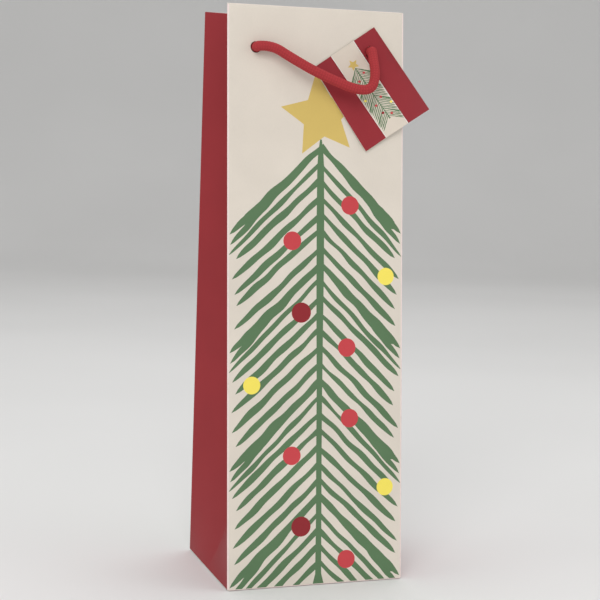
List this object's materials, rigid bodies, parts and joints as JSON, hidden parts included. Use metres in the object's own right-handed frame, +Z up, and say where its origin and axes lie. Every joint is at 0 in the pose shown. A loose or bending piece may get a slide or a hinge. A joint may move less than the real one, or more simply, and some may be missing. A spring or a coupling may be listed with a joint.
{
  "type": "paper bottle gift bag",
  "caption": "Tall narrow paper bag for a bottle, with folded side gussets, base board, knotted cord handles and a swinging gift tag.",
  "frame": {"origin": "middle of the underside, on the surface that the bag stands on", "axes": "+Z up to the mouth, +X to the right seen from the front, +Y from the front panel to the back panel"},
  "size_m": [0.1291, 0.1, 0.3594],
  "materials": {
    "printed_paper": "satin coated paper, printed",
    "red_paper": "satin coated paper, printed red",
    "white_paper": "uncoated white back of the paper",
    "grey_card": "grey board",
    "red_cord": "round knitted cord, matt",
    "tag_card": "printed card"
  },
  "bodies": {
    "base": {"base_board": "grey_card", "bottom_front_flap": "printed_paper", "bottom_back_flap": "printed_paper", "bottom_left_flap": "red_paper", "bottom_right_flap": "red_paper", "left_gusset_front": "red_paper", "left_gusset_rear": "red_paper", "left_hem_front": "red_paper", "left_hem_rear": "red_paper", "right_gusset_front": "red_paper", "right_gusset_rear": "red_paper", "right_hem_front": "red_paper", "right_hem_rear": "red_paper"},
    "front_wall": {"front_panel": "printed_paper", "front_hem": "printed_paper", "front_reinforcing_card": "grey_card", "front_left_cord_end": "red_cord", "front_right_cord_end": "red_cord"},
    "back_wall": {"back_panel": "printed_paper", "back_hem": "printed_paper", "back_reinforcing_card": "grey_card", "side_seam_flap": "white_paper", "back_left_cord_end": "red_cord", "back_right_cord_end": "red_cord"},
    "front_handle": {"front_handle_cord": "red_cord"},
    "back_handle": {"back_handle_cord": "red_cord"},
    "tag": {"gift_tag": "tag_card"}
  },
  "joints": [
    {"name": "mouth_open", "type": "hinge", "parent": "base", "child": "front_wall", "pos_m": [0, -0.05, 0.0004], "axis": [1, 0, 0], "range_deg": [-1.5, 3.4], "deforming": ["left_gusset_front", "left_gusset_rear", "left_hem_front", "left_hem_rear", "right_gusset_front", "right_gusset_rear", "right_hem_front", "right_hem_rear"]},
    {"name": "mouth_open_back", "type": "hinge", "parent": "base", "child": "back_wall", "pos_m": [0, 0.05, 0.0004], "axis": [1, 0, 0], "range_deg": [-3.4, 1.5]},
    {"name": "front_handle_swing", "type": "hinge", "parent": "front_wall", "child": "front_handle", "pos_m": [-0.0395, -0.03455, 0.33367], "axis": [-1, 0, 0], "range_deg": [0, 145]},
    {"name": "back_handle_swing", "type": "hinge", "parent": "back_wall", "child": "back_handle", "pos_m": [0.0395, 0.03455, 0.33367], "axis": [1, 0, 0], "range_deg": [0, 145]},
    {"name": "tag_swing", "type": "hinge", "parent": "front_wall", "child": "tag", "pos_m": [0.0345, -0.03081, 0.33345], "axis": [0, -0.9982, 0.06], "range_deg": [-60, 60]}
  ],
  "couplings": [
    {"joint": "mouth_open_back", "follows": "mouth_open", "ratio": -1}
  ]
}
